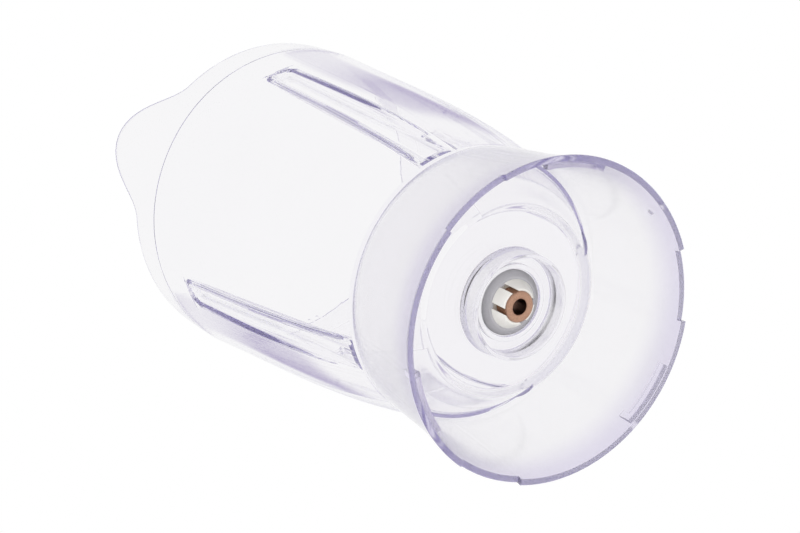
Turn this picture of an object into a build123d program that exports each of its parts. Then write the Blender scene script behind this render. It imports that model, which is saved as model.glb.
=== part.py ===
from build123d import *
import os
from math import atan2, cos, hypot, pi, radians, sin

# Clear blender jar with the bearing of its knife shaft, without lid, knife or coupling.
# It stands on the rim of its base skirt. The axis is Z, the rim is at Z = 0 and the
# pouring lip points to -Y. Lengths are millimetres, angles are degrees from the lip,
# counter-clockwise as seen from above.

LIP_DIRECTION = -90.0

# Base skirt
rim_radius = 62.0
flare_height = 12.5
flare_radius = 59.3
waist_height = 28.0
waist_radius = 57.2
shoulder_height = 54.0
shoulder_radius = 54.7
skirt_wall = 2.4
shoulder_bevel = 1.2

# Vessel
wall = 2.4
body_base_radius = 53.6
belly_height = 82.0
belly_radius = 58.8
middle_height = 134.0
middle_radius = 63.8
seat_radius = 67.0
seat_drop = 16.5

# Cup bottom of the vessel, which hangs inside the skirt
pocket_height = 51.0
pocket_radius = 50.6
cup_height = 40.5
cup_radius = 46.0
floor_underside = 29.6
floor_edge_radius = 38.2
floor_thickness = 2.8
cup_wall = 3.0
floor_edge_bevel = 3.0
side_relief = 1.2
side_relief_span = 90.0

# Mouth and pouring lip
mouth_height = 209.5
mouth_radius = 66.5
mouth_wall = 1.7
lip_half_span = 27.0
lip_reach = 15.5
lip_rise_drop = 8.5
lip_rise_reach = 5.0
lip_points = 13

# Flutes, two in front and two behind, which are ribs on the inside
flute_offset = 48.6
flute_foot_height = 58.0
flute_foot_depth = 0.7
flute_foot_width = 9.8
flute_head_drop = 21.0
flute_head_depth = 2.6
flute_head_width = 7.0
flute_draft = 12.0
flute_reach = 9.0

# Bayonet inside the rim
bayonet_count = 3
notch_offset = 30.0
notch_span = 27.0
notch_depth = 2.0
lug_offset = 73.0
lug_span = 25.0
lug_lift = 0.3
lug_height = 2.8
lug_reach = 2.3
lug_root = 1.2
stop_span = 2.6
stop_height = 6.0
pip_offset = 120.0
pip_height = 7.0
pip_root_radius = 2.6
pip_tip_radius = 1.2
pip_rise = 0.8
pip_root = 1.0

# Boss tube and raised ring under the floor
boss_root_radius = 21.0
boss_lip_radius = 20.5
boss_wall = 1.8
boss_height = 9.0
boss_floor_drop = 1.0
boss_lip_bevel = 0.5
ring_radius = 15.0
ring_wall = 1.9
ring_height = 1.5

# Bush
bush_radius = 6.0
bush_bore_radius = 3.0
bush_length = 10.0
bush_chamfer = 0.5
bush_front_height = 21.0

# Bearing housing with its snap jaws
press_gap = 0.02
neck_radius = 8.4
neck_gap = 0.15
flange_radius = 10.0
flange_thickness = 2.0
hub_radius = 8.6
jaw_shoulder_radius = 9.6
jaw_tip_radius = 6.8
bush_stand_out = 0.9
narrow_jaw_offset = 6.0
jaw_slot_setting = 4.15
jaw_slot_width = 2.0
jaw_slot_rise = 1.6
ledge_radius = 4.2
ledge_thickness = 1.2
seal_pocket_radius = 7.0
seal_pocket_depth = 3.6

# Seals
seal_ring_thickness = 2.5
seal_ring_radius = 12.7
seal_ring_tip_radius = 10.4
seal_ring_edge = 0.7
seal_gap = 0.1
shaft_seal_height = 3.2
shaft_seal_gap = 0.1
shaft_seal_lip = 0.8

# Heights that follow from the values above
seat_height = mouth_height - seat_drop
lip_rise_height = mouth_height - lip_rise_drop
flute_head_height = seat_height - flute_head_drop
floor_top = floor_underside + floor_thickness
boss_floor = floor_underside - boss_floor_drop
jaw_shoulder_height = boss_floor - seal_ring_thickness
jaw_tip_height = bush_front_height + bush_stand_out
bush_top = bush_front_height + bush_length
hub_top = bush_top + ledge_thickness + seal_pocket_depth


def turned(*edges):
    """A solid of revolution about Z from a closed outline in the radius-height plane."""
    return revolve(Plane.XZ * make_face(edges), Axis.Z)


def around(shape, count, offset):
    """Copies of a shape that points to +X, spread evenly round the axis from the lip."""
    angles = [LIP_DIRECTION + offset + 360.0 / count * n for n in range(count)]
    return [Rot(0, 0, angle) * shape for angle in angles]


def sector(inner, outer, low, high, span):
    """A block of a ring between two radii and two heights, centred on +X."""
    corners = [(inner, low), (outer, low), (outer, high), (inner, high)]
    section = Plane.XZ * make_face(Polyline(*corners, close=True))
    return Rot(0, 0, -span / 2) * revolve(section, Axis.Z, span)


def skirt_curve(inset, top):
    """The trumpet curve of the skirt from the rim up to a height, moved in by an inset."""
    points = [(rim_radius, 0), (flare_radius, flare_height), (waist_radius, waist_height)]
    points.append((shoulder_radius, top))
    return Spline(*[(radius - inset, height) for radius, height in points])


def body_curve(inset):
    """The barrel curve of the vessel from the shoulder to the lid seat, moved in by an inset."""
    points = [(body_base_radius, shoulder_height), (belly_radius, belly_height)]
    points += [(middle_radius, middle_height), (seat_radius, seat_height)]
    return Spline(*[(radius - inset, height) for radius, height in points])


def cut_back(first, second, size):
    """Two curves that meet at a corner, each shortened there by a size."""
    return first.trim(0, 1 - size / first.length), second.trim(size / second.length, 1)


def vessel_outside():
    """Skirt, shoulder and barrel as one filled solid up to the lid seat."""
    skirt = skirt_curve(0, shoulder_height - shoulder_bevel)
    body = body_curve(0)
    return turned(
        Line((0, 0), skirt @ 0),
        skirt,
        Line(skirt @ 1, body @ 0),
        body,
        Line(body @ 1, (0, seat_height)),
        Line((0, seat_height), (0, 0)),
    )


def cup_curve(inset):
    """The cup side from the pocket under the shoulder down to the floor edge, moved in."""
    points = [(pocket_radius, pocket_height), (cup_radius, cup_height)]
    points.append((floor_edge_radius, floor_underside))
    return ThreePointArc(*[(radius - inset, height) for radius, height in points])


def vessel_inside():
    """The room for the drink, from the floor to the lid seat, with the ribs left out of it."""
    body = body_curve(wall)
    slant = cup_wall * sin(pi / 4)
    cup_foot = (floor_edge_radius - cup_wall, floor_top)
    cup = ThreePointArc(cup_foot, (cup_radius - slant, cup_height + slant), body @ 0)
    floor, cup = cut_back(Line((0, floor_top), cup_foot), cup, floor_edge_bevel)
    bevel = Line(floor @ 1, cup @ 0)
    seat = Line(body @ 1, (0, seat_height))
    axis = Line((0, seat_height), (0, floor_top))
    return turned(floor, bevel, cup, body, seat, axis) - flutes(wall)


def under_room():
    """The open room inside the skirt, around the cup bottom, the boss tube and the raised ring."""
    skirt = skirt_curve(skirt_wall, pocket_height)
    cup = cup_curve(0)
    roof = Line(skirt @ 1, cup @ 0)
    boss_low = floor_underside - boss_height
    boss_inside = boss_lip_radius - boss_wall
    ring_inside = ring_radius - ring_wall
    ring_low = boss_floor - ring_height
    cup_foot = cup @ 1
    cup, floor = cut_back(cup, Line(cup_foot, (boss_root_radius, floor_underside)), floor_edge_bevel)
    bevel = Line(cup @ 1, floor @ 0)
    boss = Polyline(
        floor @ 1,
        (boss_lip_radius, boss_low + boss_lip_bevel),
        (boss_lip_radius - boss_lip_bevel, boss_low),
        (boss_inside + boss_lip_bevel, boss_low),
        (boss_inside, boss_low + boss_lip_bevel),
        (boss_inside, boss_floor),
        (ring_radius, boss_floor),
        (ring_radius, ring_low),
        (ring_inside, ring_low),
        (ring_inside, boss_floor),
        (0, boss_floor),
        (0, 0),
        skirt @ 0,
    )
    return turned(skirt, roof, cup, bevel, floor, boss)


def side_reliefs():
    """What the cup side is cut back by between the flutes on its left and right."""
    deep = cup_curve(side_relief)
    clear = cup_curve(-side_relief)
    crescent = Plane.XZ * make_face([deep, Line(deep @ 1, clear @ 1), clear, Line(clear @ 0, deep @ 0)])
    block = Rot(0, 0, -side_relief_span / 2) * revolve(crescent, Axis.Z, side_relief_span)
    return around(block, 2, side_relief_span)


def body_radius_at(height):
    """The outside radius of the barrel at a height."""
    level = Line((0, height), (2 * seat_radius, height))
    return (body_curve(0) & level).X


def flute_tool(inset):
    """A tapering groove with a round head and drafted sides, grown and sunk by an inset."""
    foot = (body_radius_at(flute_foot_height) - flute_foot_depth, flute_foot_height)
    head = (body_radius_at(flute_head_height) - flute_head_depth, flute_head_height)
    length = hypot(head[0] - foot[0], head[1] - foot[1])
    lean = atan2(head[0] - foot[0], head[1] - foot[1])
    outward = (cos(lean), 0, -sin(lean))
    floor_plane = Plane(origin=(foot[0], 0, foot[1]), x_dir=(0, 1, 0), z_dir=outward).offset(-inset)
    half_foot = flute_foot_width / 2 + inset
    half_head = flute_head_width / 2 + inset
    neck = length - flute_head_width / 2
    outline = make_face(
        [
            Line((-half_foot, -inset), (half_foot, -inset)),
            Line((half_foot, -inset), (half_head, neck)),
            ThreePointArc((half_head, neck), (0, neck + half_head), (-half_head, neck)),
            Line((-half_head, neck), (-half_foot, -inset)),
        ]
    )
    return extrude(floor_plane * outline, flute_reach + inset, taper=-flute_draft)


def flutes(inset):
    """The four grooves, a pair on each side of the lip and a pair opposite."""
    tool = flute_tool(inset)
    return around(tool, 2, flute_offset) + around(tool, 2, -flute_offset)


def lip_outline(radius, reach, height):
    """The mouth outline at a height: a circle with a bell-shaped bulge for the pouring lip."""
    spread = radians(lip_half_span)
    ahead = radians(LIP_DIRECTION)

    def point(turn):
        bulge = reach * cos(pi / 2 * turn / spread) ** 2
        return ((radius + bulge) * cos(ahead + turn), (radius + bulge) * sin(ahead + turn))

    start = point(-spread)
    end = point(spread)
    back = (-radius * cos(ahead), -radius * sin(ahead))
    if reach:
        turns = [spread * (2 * n / (lip_points - 1) - 1) for n in range(lip_points)]
        leave = [(-sin(ahead + turn), cos(ahead + turn)) for turn in (-spread, spread)]
        front = Spline(*[point(turn) for turn in turns], tangents=leave)
    else:
        front = ThreePointArc(start, point(0), end)
    return Pos(0, 0, height) * make_face([front, ThreePointArc(end, back, start)])


def mouth_band():
    """The wall above the lid seat, drawn out at the front into the pouring lip."""
    rise_share = (lip_rise_height - seat_height) / (mouth_height - seat_height)
    rise_radius = seat_radius + (mouth_radius - seat_radius) * rise_share
    levels = [(seat_radius, 0, seat_height), (rise_radius, lip_rise_reach, lip_rise_height)]
    levels.append((mouth_radius, lip_reach, mouth_height))
    outside = loft([lip_outline(radius, reach, height) for radius, reach, height in levels])
    inside = loft([lip_outline(radius - mouth_wall, reach, height) for radius, reach, height in levels])
    return outside - inside


def bayonet_lugs():
    """Three bars inside the rim, each with an upright stop at its far end."""
    inner_rim = rim_radius - skirt_wall
    bar_top = lug_lift + lug_height
    bar = sector(inner_rim - lug_reach, inner_rim + lug_root, lug_lift, bar_top, lug_span)
    stop_outer = flare_radius - skirt_wall + lug_root
    stop = sector(inner_rim - lug_reach, stop_outer, lug_lift, lug_lift + stop_height, stop_span)
    stop = Rot(0, 0, (lug_span - stop_span) / 2) * stop
    return around(bar + stop, bayonet_count, lug_offset)


def rim_notches():
    """Three shallow gaps in the rim where the mating lugs go in."""
    inner = rim_radius - skirt_wall - lug_reach
    gap = sector(inner, rim_radius + skirt_wall, -notch_depth, notch_depth, notch_span)
    return around(gap, bayonet_count, notch_offset)


def inner_skirt_radius_at(height):
    """The inside radius of the skirt at a height."""
    level = Line((0, height), (2 * rim_radius, height))
    return (skirt_curve(skirt_wall, pocket_height) & level).X


def rim_pip():
    """A low tapered button on the inside of the skirt."""
    root_radius = inner_skirt_radius_at(pip_height) + pip_root
    length = pip_root + pip_rise
    button = Cone(pip_root_radius, pip_tip_radius, length, align=(Align.CENTER, Align.CENTER, Align.MIN))
    return around(Pos(root_radius, 0, pip_height) * Rot(0, -90, 0) * button, 1, pip_offset)


def make_jar():
    """The clear moulding: vessel, ribs, skirt, bayonet, boss and pouring lip in one piece."""
    jar = vessel_outside() - flutes(0)
    jar = jar - vessel_inside() - under_room() - side_reliefs()
    jar = jar + mouth_band()
    jar = jar + bayonet_lugs() + rim_pip() - rim_notches()
    hole_depth = floor_top - boss_floor
    hole = Pos(0, 0, boss_floor) * Cylinder(neck_radius + neck_gap, 3 * hole_depth)
    return jar - hole


def make_bearing_housing():
    """White sleeve: flange and hub in the vessel, neck through the floor, snap jaws below."""
    bore = bush_radius + press_gap
    flange_top = floor_top + flange_thickness
    ledge_top = bush_top + ledge_thickness
    sleeve = turned(
        Polyline(
            (bore, jaw_tip_height),
            (jaw_tip_radius, jaw_tip_height),
            (jaw_shoulder_radius, jaw_shoulder_height),
            (neck_radius, jaw_shoulder_height),
            (neck_radius, floor_top),
            (flange_radius, floor_top),
            (flange_radius, flange_top),
            (hub_radius, flange_top),
            (hub_radius, hub_top),
            (seal_pocket_radius, hub_top),
            (seal_pocket_radius, ledge_top),
            (ledge_radius, ledge_top),
            (ledge_radius, bush_top),
            (bore, bush_top),
            close=True,
        )
    )
    slot_height = jaw_shoulder_height + jaw_slot_rise - jaw_tip_height
    slot = Box(3 * jaw_shoulder_radius, jaw_slot_width, 2 * slot_height)
    slot = Pos(0, jaw_slot_setting, jaw_tip_height) * slot
    return sleeve - around(slot, 2, narrow_jaw_offset)


def make_bush():
    """Plain bronze bush with chamfered edges."""
    bush = Cylinder(bush_radius, bush_length) - Cylinder(bush_bore_radius, 2 * bush_length)
    bush = chamfer(bush.edges().filter_by(GeomType.CIRCLE), bush_chamfer)
    return Pos(0, 0, bush_front_height + bush_length / 2) * bush


def make_seal_ring():
    """Grey tapered ring between the floor and the shoulders of the jaws."""
    inner = neck_radius + seal_gap
    return turned(
        Polyline(
            (inner, boss_floor),
            (seal_ring_radius, boss_floor),
            (seal_ring_radius, boss_floor - seal_ring_edge),
            (seal_ring_tip_radius, jaw_shoulder_height),
            (inner, jaw_shoulder_height),
            close=True,
        )
    )


def make_shaft_seal():
    """Rubber ring over the bush, with a thin lip around the shaft's way."""
    low = bush_top + ledge_thickness
    outer = seal_pocket_radius - shaft_seal_gap
    inner = bush_bore_radius + shaft_seal_gap
    high = low + shaft_seal_height
    return turned(
        Polyline(
            (ledge_radius, low),
            (outer, low),
            (outer, high),
            (inner, high),
            (inner, high - shaft_seal_lip),
            close=True,
        )
    )


os.makedirs("parts", exist_ok=True)
export_step(make_jar(), "parts/jar.step")
export_step(make_bearing_housing(), "parts/bearing_housing.step")
export_step(make_bush(), "parts/bush.step")
export_step(make_seal_ring(), "parts/seal_ring.step")
export_step(make_shaft_seal(), "parts/shaft_seal.step")
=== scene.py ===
from math import ceil, cos, hypot, pi, radians, sin, tan

import bmesh
import bpy
import numpy as np
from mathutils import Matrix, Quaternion, Vector


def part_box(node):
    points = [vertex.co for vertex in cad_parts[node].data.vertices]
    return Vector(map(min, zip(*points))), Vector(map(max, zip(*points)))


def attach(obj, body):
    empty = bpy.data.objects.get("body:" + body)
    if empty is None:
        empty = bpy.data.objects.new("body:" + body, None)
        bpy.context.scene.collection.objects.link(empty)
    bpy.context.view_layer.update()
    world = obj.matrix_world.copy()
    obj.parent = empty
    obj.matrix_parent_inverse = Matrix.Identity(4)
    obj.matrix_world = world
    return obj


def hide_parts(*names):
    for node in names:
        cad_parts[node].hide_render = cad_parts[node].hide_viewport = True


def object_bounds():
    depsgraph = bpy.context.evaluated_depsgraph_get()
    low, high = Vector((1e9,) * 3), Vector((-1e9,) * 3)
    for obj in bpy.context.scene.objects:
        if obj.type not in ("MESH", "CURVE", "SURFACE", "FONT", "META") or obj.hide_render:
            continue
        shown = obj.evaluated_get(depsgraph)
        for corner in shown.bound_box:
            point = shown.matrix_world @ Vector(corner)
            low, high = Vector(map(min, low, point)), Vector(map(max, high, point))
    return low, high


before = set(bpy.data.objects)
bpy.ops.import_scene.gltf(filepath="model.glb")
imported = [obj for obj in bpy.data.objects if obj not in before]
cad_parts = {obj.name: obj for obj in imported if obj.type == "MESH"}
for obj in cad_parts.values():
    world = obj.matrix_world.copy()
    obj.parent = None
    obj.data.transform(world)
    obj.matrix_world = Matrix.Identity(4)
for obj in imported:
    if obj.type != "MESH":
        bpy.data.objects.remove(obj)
CAD_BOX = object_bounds()
JAR_LOW, JAR_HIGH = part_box("jar")
HOUSING_LOW, HOUSING_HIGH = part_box("bearing_housing")
BUSH_LOW, BUSH_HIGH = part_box("bush")
RING_LOW, RING_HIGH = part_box("seal_ring")
SEAL_LOW, SEAL_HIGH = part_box("shaft_seal")

bl_info = {
    "name": "Blender jar",
    "version": (1, 0, 0),
    "blender": (4, 5, 0),
    "location": "View3D > Sidebar > Jar",
    "description": "A clear fluted blender jar with the bearing of its knife shaft",
    "category": "Add Mesh",
}

# Columns of the jar's grid: angles and numbers of steps
FLUTE_ZONE = radians(9.2)
FLUTE_REST = radians(4.5)
FLUTE_REST_EDGE = radians(5.0)
HEAD_END = 1.02
DRIFT_HEIGHT = 0.014
EDGE_PAIR = radians(0.015)
LEAST_SIDE = radians(0.1)
COLUMN_SPACING = radians(2.3)
SAME_TURN = 1e-6
OUTSIDE_STEPS = 3
WALL_STEPS = 6
FLOOR_STEPS = 5
BLEND_SAMPLES = 9
CRISP_SHARES = (0.2, 0.6)
RELIEF_ENDS = np.array([1, 3, 5, 7]) * pi / 4

# Rows of the jar's grid: heights in metres and numbers of points
BARREL_SPACING = 0.0035
FLOOR_ROWS = 10
BEND_ROWS = 7
CUP_ROWS_IN = 22
CUP_ROWS_OUT = 24
CUP_BEND_ROWS = 3
UNDER_ROWS = 6
MOUTH_ROWS_IN = 9
MOUTH_ROWS_OUT = 10
SHOULDER_ROW = 0.001
SKIRT_ROWS_OUT = 20
SKIRT_ROWS_IN = 18
SKIRT_IN_START = 0.0105
LOW_ROWS_OUT = (0.0045, 0.003, 0.0015)
LOW_ROWS_IN = (0.001, 0.002, 0.004)
RIM_ROW = 0.0002
STEP_PAIR = 0.00003
NOTCH_FADE = 0.006
BOSS_ROUND = 0.0006
RING_ROUND = 0.0003
PIP_PLACES = np.linspace(-1.2, 1.2, 9)
PIP_SLOPE = 0.8

# Grids of the bearing
TURNED_COLUMNS = 96
JAW_COLUMNS = 17
JAW_END = 0.004
JAW_CLOSING = np.array([0.0, 0.5, 0.95, 1.0])
JAW_ROUNDS = np.array([1, 1.5, 1.5, 0.5, 0.5, 0.5])

# Surfaces
MERGE = 1e-7
CREASE = radians(38)
CUP_HAZE = 0.5
HAZE_HEIGHTS = (0.004, 0.03)
HAZE_SHARES = (1.0, 0.7)
# edge of the painted shade in a bore, as a share of its radius
BORE_SHADE_EDGE = 1.06
NOISE_RANGE = (0.3, 0.7)
CLOUD_DETAIL = 3.0
GRAIN_DETAIL = 2.0
GRAIN_FINENESS = 10.0
BUMP_DISTANCE = 0.0002
FLOW_SCALE = 18.0
FLOW_SHARE = 0.01
FLOW_ROUGHNESS = (0.0, 0.03)
PLASTIC_INDEX = 1.57

# Stage
IMAGE_WIDTH = 800
FLOOR_HALF = 4.0
FLOOR_DROP = 0.0002
FLOOR_SCALE = 3.0
FLOOR_SHARE = 0.02
SURROUND_STRENGTH = 0.95
LIGHT_BOUNCES = 512
CLEAR_BOUNCES = 16
LIGHTS = {
    "key_light": {"place": (-0.5, -0.9, -0.6), "aim": (0, 0, 0.05), "size": 0.5, "power": 4.0},
    "top_light": {"place": (0.4, -0.3, 0.9), "aim": (0, 0, 0.1), "size": 0.6, "power": 4.0},
}


def length(name, description, metres):
    """A length property in metres."""
    return bpy.props.FloatProperty(
        name=name, description=description, default=metres, unit="LENGTH", precision=5
    )


def angle(name, description, degrees):
    """An angle property, given in degrees and kept in radians."""
    return bpy.props.FloatProperty(
        name=name, description=description, default=radians(degrees), subtype="ANGLE"
    )


def colour(name, description, red, green, blue):
    """A linear colour property."""
    return bpy.props.FloatVectorProperty(
        name=name, description=description, default=(red, green, blue), subtype="COLOR", min=0, max=1
    )


class JarSizes(bpy.types.PropertyGroup):
    """Sizes of the clear moulding, measured from its axis and from the rim it stands on."""

    rim_radius: length("Rim radius", "Outside radius of the rim of the skirt", 0.062)
    flare_radius: length("Flare radius", "Skirt radius above the flared rim", 0.0593)
    flare_height: length("Flare height", "Height of the flare radius", 0.0125)
    waist_radius: length("Waist radius", "Skirt radius half way up", 0.0572)
    waist_height: length("Waist height", "Height of the waist radius", 0.028)
    shoulder_radius: length("Shoulder radius", "Skirt radius under the shoulder", 0.0547)
    shoulder_height: length("Shoulder height", "Height where the barrel starts", 0.054)
    shoulder_bevel: length("Shoulder bevel", "Height of the bevel at the shoulder", 0.0012)
    wall: length("Wall", "Wall thickness of skirt and barrel", 0.0024)
    body_base_radius: length("Barrel foot radius", "Barrel radius at the shoulder", 0.0536)
    belly_radius: length("Belly radius", "Barrel radius at the belly height", 0.0588)
    belly_height: length("Belly height", "Height of the belly radius", 0.082)
    middle_radius: length("Middle radius", "Barrel radius at the middle height", 0.0638)
    middle_height: length("Middle height", "Height of the middle radius", 0.134)
    seat_radius: length("Seat radius", "Barrel radius at the lid seat", JAR_HIGH.x)
    seat_drop: length("Seat drop", "Lid seat below the mouth", 0.0165)
    mouth_height: length("Mouth height", "Height of the mouth", JAR_HIGH.z)
    mouth_radius: length("Mouth radius", "Outside radius of the mouth", 0.0665)
    mouth_wall: length("Mouth wall", "Wall thickness above the lid seat", 0.0017)
    lip_half_span: angle("Lip half span", "Angle from the middle of the lip to its end", 27)
    lip_rise_reach: length("Lip rise reach", "How far the lip stands out half way up", 0.005)
    lip_rise_drop: length("Lip rise drop", "Half way height of the lip below the mouth", 0.0085)
    pocket_radius: length("Pocket radius", "Cup radius under the shoulder", 0.0506)
    pocket_height: length("Pocket height", "Roof of the room around the cup", 0.051)
    cup_radius: length("Cup radius", "Cup radius at the cup height", 0.046)
    cup_height: length("Cup height", "Height of the cup radius", 0.0405)
    floor_edge_radius: length("Floor edge radius", "Radius where cup and floor meet", 0.0382)
    floor_underside: length("Floor underside", "Height of the underside of the floor", 0.0296)
    floor_thickness: length("Floor thickness", "Thickness of the floor", 0.0028)
    floor_edge_bend: length("Floor edge bend", "Size of the bend between floor and cup", 0.0012)
    cup_wall: length("Cup wall", "Wall thickness of the cup", 0.003)
    side_relief: length("Side relief", "How far the cup is cut back on its left and right", 0.0012)
    flute_offset: angle("Flute offset", "Angle of the flutes from the lip and from the back", 48.6)
    flute_foot_height: length("Flute foot height", "Height of the foot of a flute", 0.058)
    flute_foot_depth: length("Flute foot depth", "Depth of a flute at its foot", 0.0007)
    flute_foot_width: length("Flute foot width", "Width of a flute at its foot", 0.0098)
    flute_head_drop: length("Flute head drop", "Head of a flute below the lid seat", 0.021)
    flute_head_depth: length("Flute head depth", "Depth of a flute at its head", 0.0026)
    flute_head_width: length("Flute head width", "Width of a flute at its round head", 0.007)
    flute_draft: angle("Flute draft", "Draft of the sides of a flute", 12)
    near_round: length("Near round", "Softness of the flute edges towards the lip or the back", 0.0008)
    far_round: length("Far round", "Softness of the other edges of the flutes", 0.0004)
    notch_offset: angle("Notch offset", "Angle of the first rim notch from the lip", 30)
    notch_span: angle("Notch span", "Angle that a rim notch spans", 27)
    notch_depth: length("Notch depth", "Depth of a rim notch", 0.002)
    lug_offset: angle("Bar offset", "Angle of the first bayonet bar from the lip", 73)
    lug_span: angle("Bar span", "Angle that a bayonet bar spans", 25)
    lug_lift: length("Bar lift", "Underside of a bar above the rim", 0.0003)
    lug_height: length("Bar height", "Height of a bar", 0.0028)
    lug_reach: length("Bar reach", "How far a bar stands in from the rim", 0.0023)
    stop_span: angle("Stop span", "Angle that the upright stop of a bar spans", 2.6)
    stop_height: length("Stop height", "Height of the upright stop", 0.006)
    pip_offset: angle("Pip offset", "Angle of the small button from the lip", 120)
    pip_height: length("Pip height", "Height of the small button", 0.007)
    pip_radius: length("Pip radius", "Radius of the small button at the wall", 0.0018)
    pip_rise: length("Pip rise", "How far the small button stands in", 0.0005)
    boss_root_radius: length("Boss root radius", "Outside radius of the boss tube at the floor", 0.021)
    boss_lip_radius: length("Boss lip radius", "Outside radius of the boss tube at its end", 0.0205)
    boss_wall: length("Boss wall", "Wall thickness of the boss tube", 0.0018)
    boss_height: length("Boss height", "Height of the boss tube", 0.009)
    boss_floor_drop: length("Boss floor drop", "How far the floor is thicker inside the boss", 0.001)
    ring_radius: length("Ring radius", "Outside radius of the raised ring", 0.015)
    ring_wall: length("Ring wall", "Wall thickness of the raised ring", 0.0019)
    ring_height: length("Ring height", "Height of the raised ring", 0.0015)
    hole_radius: length("Hole radius", "Radius of the hole for the bearing", 0.00855)
    edge: length("Edge round", "Size of the rounds along moulded edges", 0.00035)


class BearingSizes(bpy.types.PropertyGroup):
    """Sizes of the bearing in the floor that the frame's boxes don't give."""

    neck_radius: length("Neck radius", "Radius of the housing in the hole", 0.0084)
    floor_top: length("Floor top", "Height of the floor that the flange lies on", 0.0324)
    flange_thickness: length("Flange thickness", "Thickness of the flange in the vessel", 0.002)
    hub_radius: length("Hub radius", "Radius of the hub in the vessel", 0.0086)
    jaw_shoulder_radius: length("Jaw shoulder radius", "Radius of the shoulders of the jaws", 0.0096)
    jaw_tip_radius: length("Jaw tip radius", "Radius of the tips of the jaws", 0.0068)
    narrow_offset: angle("Narrow jaw offset", "Angle of the first narrow jaw from the lip", 6)
    slot_setting: length("Slot setting", "Distance of the parallel slots from the axis", 0.00415)
    slot_width: length("Slot width", "Width of the slots between the jaws", 0.002)
    slot_rise: length("Slot rise", "Height of the slots above the shoulders", 0.0016)
    press_gap: length("Press gap", "Gap between bush and housing", 0.00002)
    ledge_radius: length("Ledge radius", "Hole in the ledge over the bush", 0.0042)
    ledge_thickness: length("Ledge thickness", "Thickness of the ledge over the bush", 0.0012)
    seal_pocket_radius: length("Seal pocket radius", "Radius of the pocket for the shaft seal", 0.007)
    bore_radius: length("Bore radius", "Radius of the bore of the bush", 0.003)
    bush_chamfer: length("Bush chamfer", "Chamfer of the edges of the bush", 0.0005)
    seal_tip_radius: length("Seal tip radius", "Radius of the grey ring at its tip", 0.0104)
    seal_edge: length("Seal edge", "Height of the upright edge of the grey ring", 0.0007)
    seal_gap: length("Seal gap", "Gap between the grey ring and the neck", 0.0001)
    lip_thickness: length("Seal lip", "Thickness of the lip of the shaft seal", 0.0008)
    air: length("Air gap", "Gap between the clear floor and the parts that lie on it", 0.00005)
    edge: length("Edge round", "Size of the rounds along edges", 0.0002)


class Finishes(bpy.types.PropertyGroup):
    """Colours of the plastics, the bronze and the rubbers, with a painted glow on the rim and painted
    shade in the bore.
    """

    clear: colour("Clear plastic", "Surface tint of the clear plastic", 0.985, 0.98, 0.99)
    clear_depth: colour("Clear plastic depth", "Colour of light deep in the plastic", 0.40, 0.34, 0.66)
    clear_density: bpy.props.FloatProperty(
        name="Clear plastic density", description="Absorption per metre of plastic", default=7.0
    )
    # painted light: a lavender glow painted on the rim and the skirt's foot for the light that the wall
    # gathers and guides there
    painted_rim_glow: colour("Rim tint", "Tint of the rim, where light gathers from the wall", 0.83, 0.80, 0.92)
    painted_glow_band: length("Rim band", "Height over which the tint of the rim fades", 0.02)
    haze: bpy.props.FloatProperty(
        name="Haze", description="Most roughness of the textured surfaces", default=0.2
    )
    white: colour("White plastic", "Cream white of the bearing housing", 0.92, 0.90, 0.85)
    bronze: colour("Bronze", "Oiled sintered bronze of the bush", 0.62, 0.37, 0.26)
    # painted shade: the bore colour darkens the inside of the bush's bore as the shadow deep in the
    # hole
    bore: colour("Bore", "Tint of the oil-soaked bore of the bush", 0.25, 0.2, 0.18)
    grey_rubber: colour("Grey rubber", "Rubber of the ring under the floor", 0.50, 0.49, 0.52)
    dark_rubber: colour("Dark rubber", "Rubber of the shaft seal", 0.02, 0.02, 0.022)
    floor: colour("Floor", "Pale studio floor", 0.86, 0.86, 0.86)


class StageSettings(bpy.types.PropertyGroup):
    """Camera and light. The jar is seen from below, so the floor shows only from above."""

    azimuth: angle("Camera azimuth", "Direction from the origin to the camera, from +X", -86.5)
    elevation: angle("Camera elevation", "Angle of the camera above the rim plane", -50.547)
    distance: length("Camera distance", "Distance of the camera from the middle of the rim", 0.83302)
    aim: bpy.props.FloatVectorProperty(
        name="Camera aim",
        description="Point in the middle of the picture",
        default=(-0.0053, -0.00038, 0.10139),
        subtype="TRANSLATION",
        precision=5,
    )
    roll: angle("Camera roll", "Turn of the picture from upright", 64.778)
    focal_pixels: bpy.props.FloatProperty(
        name="Focal length", description="Focal length in pixels of the picture", default=2300.0
    )
    side_inner: angle("Side start", "Angle from the backdrop where a dim side of the studio starts", 38)
    side_outer: angle("Side end", "Angle from the backdrop where a dim side of the studio ends", 72)
    side_soft: angle("Side softness", "Angle over which a dim side fades in or out", 8)
    side_low: angle("Side low", "Elevation where a dim side starts", 48)
    side_high: angle("Side high", "Elevation where a dim side ends", 55.5)
    side_tone: colour("Side tone", "Light from the dim sides of the studio", 0.38, 0.32, 0.55)


def settings():
    """The four groups of values of the current scene."""
    scene = bpy.context.scene
    return scene.jar_sizes, scene.bearing_sizes, scene.jar_finishes, scene.jar_stage


def straight(start, end, count):
    """Evenly spaced points on the line from start to end, with the end left out."""
    share = np.arange(count)[:, None] / count
    return np.array(start) + share * (np.array(end) - np.array(start))


def bend(start, corner, end, count):
    """Points of the quadratic curve (1-t)^2 start + 2t(1-t) corner + t^2 end, end left out."""
    t = np.arange(count)[:, None] / count
    return (1 - t) ** 2 * np.array(start) + 2 * t * (1 - t) * np.array(corner) + t**2 * np.array(end)


def arc(first, middle, last, count):
    """Evenly spaced points on the circle through three points, both ends included."""
    a, b, c = (np.array(point, float) for point in (first, middle, last))
    rows = 2 * np.array([b - a, c - a])
    centre = np.linalg.solve(rows, np.array([b @ b - a @ a, c @ c - a @ a]))
    turns = np.unwrap([np.arctan2(*(point - centre)[::-1]) for point in (a, b, c)])
    turn = np.linspace(turns[0], turns[2], count)
    size = np.linalg.norm(a - centre)
    return centre + size * np.stack([np.cos(turn), np.sin(turn)], 1)


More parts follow.
